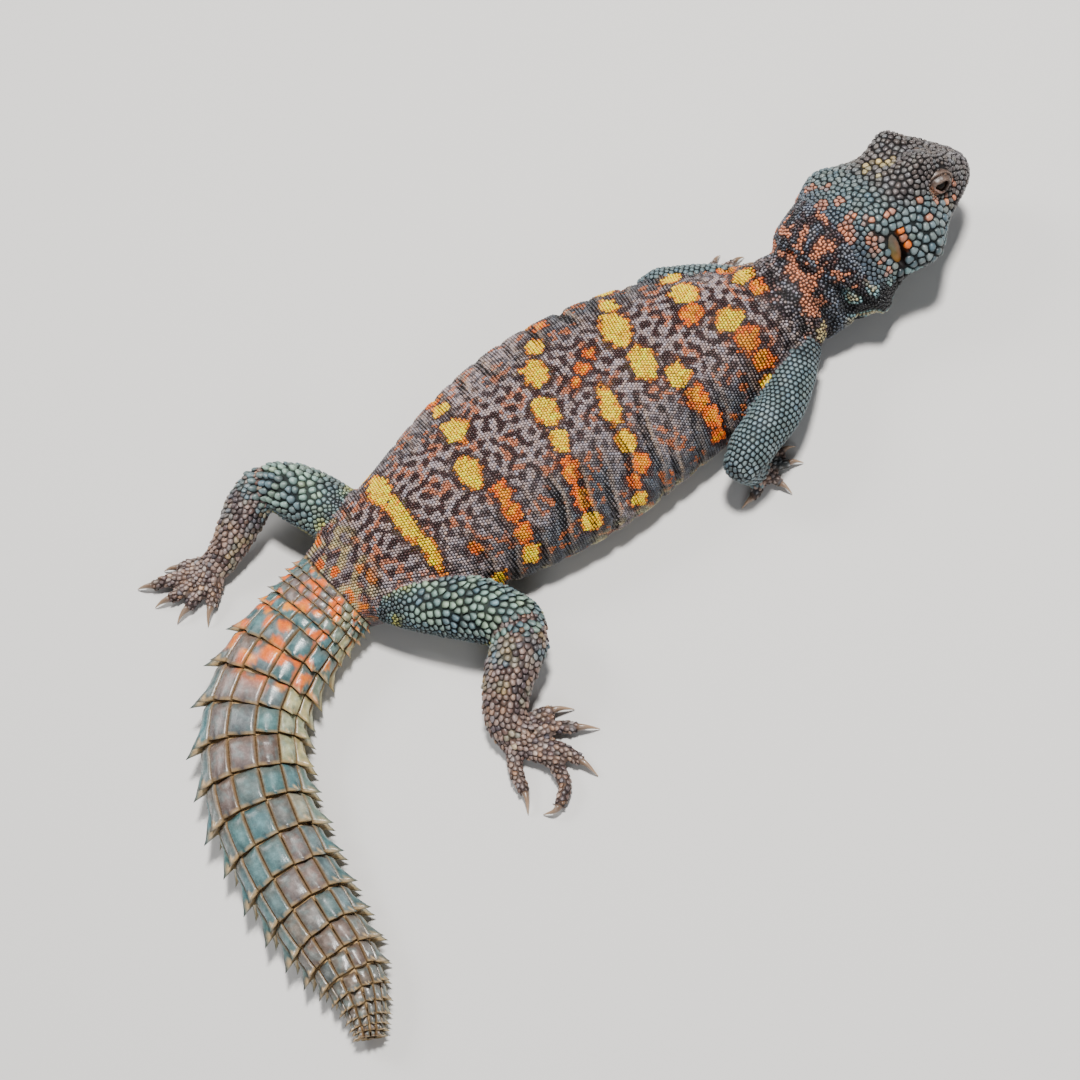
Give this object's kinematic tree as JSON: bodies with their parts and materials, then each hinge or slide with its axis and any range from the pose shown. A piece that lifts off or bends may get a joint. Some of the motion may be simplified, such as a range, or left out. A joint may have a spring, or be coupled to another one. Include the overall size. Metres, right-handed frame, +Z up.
{
  "type": "uromastyx lizard",
  "caption": "life-size still model of an ornate uromastyx resting flat, head raised and spiny tail curled to its right",
  "frame": {"origin": "on the floor under the middle of the bounding box", "axes": "+Z up; the animal faces -Y and its right side is -X, so +Y runs from its head to its tail"},
  "size_m": [0.1254, 0.2146, 0.0297],
  "materials": {
    "head_skin": "blue-grey plates with brown seams, cream crown patches and salmon cheek spots",
    "neck_skin": "charcoal granules with salmon-orange bars, black throat with pale bars",
    "trunk_skin": "pale grey and maroon granules with rows of yellow spots edged with orange",
    "arm_skin": "pale blue-grey overlapping scales with dark seams",
    "leg_skin": "teal-green pointed scales, taupe towards the foot",
    "foot_skin": "taupe scales with tan claws",
    "tail_scutes": "teal and mauve-brown spiny plates with ochre seams, orange at the root",
    "eye": "wet black",
    "eardrum": "smooth olive and orange-brown membrane"
  },
  "bodies": {
    "root": {"head": "head_skin", "jaw": "head_skin", "eye_left": "eye", "eye_right": "eye", "eardrum_left": "eardrum", "eardrum_right": "eardrum", "neck": "neck_skin", "torso": "trunk_skin", "tail_1": "tail_scutes", "tail_2": "tail_scutes", "tail_3": "tail_scutes", "tail_4": "tail_scutes", "upper_arm_left": "arm_skin", "upper_arm_right": "arm_skin", "forearm_left": "arm_skin", "forearm_right": "arm_skin", "hand_left": "foot_skin", "hand_right": "foot_skin", "thigh_left": "leg_skin", "thigh_right": "leg_skin", "shank_left": "leg_skin", "shank_right": "leg_skin", "foot_left": "foot_skin", "foot_right": "foot_skin"}
  },
  "joints": []
}
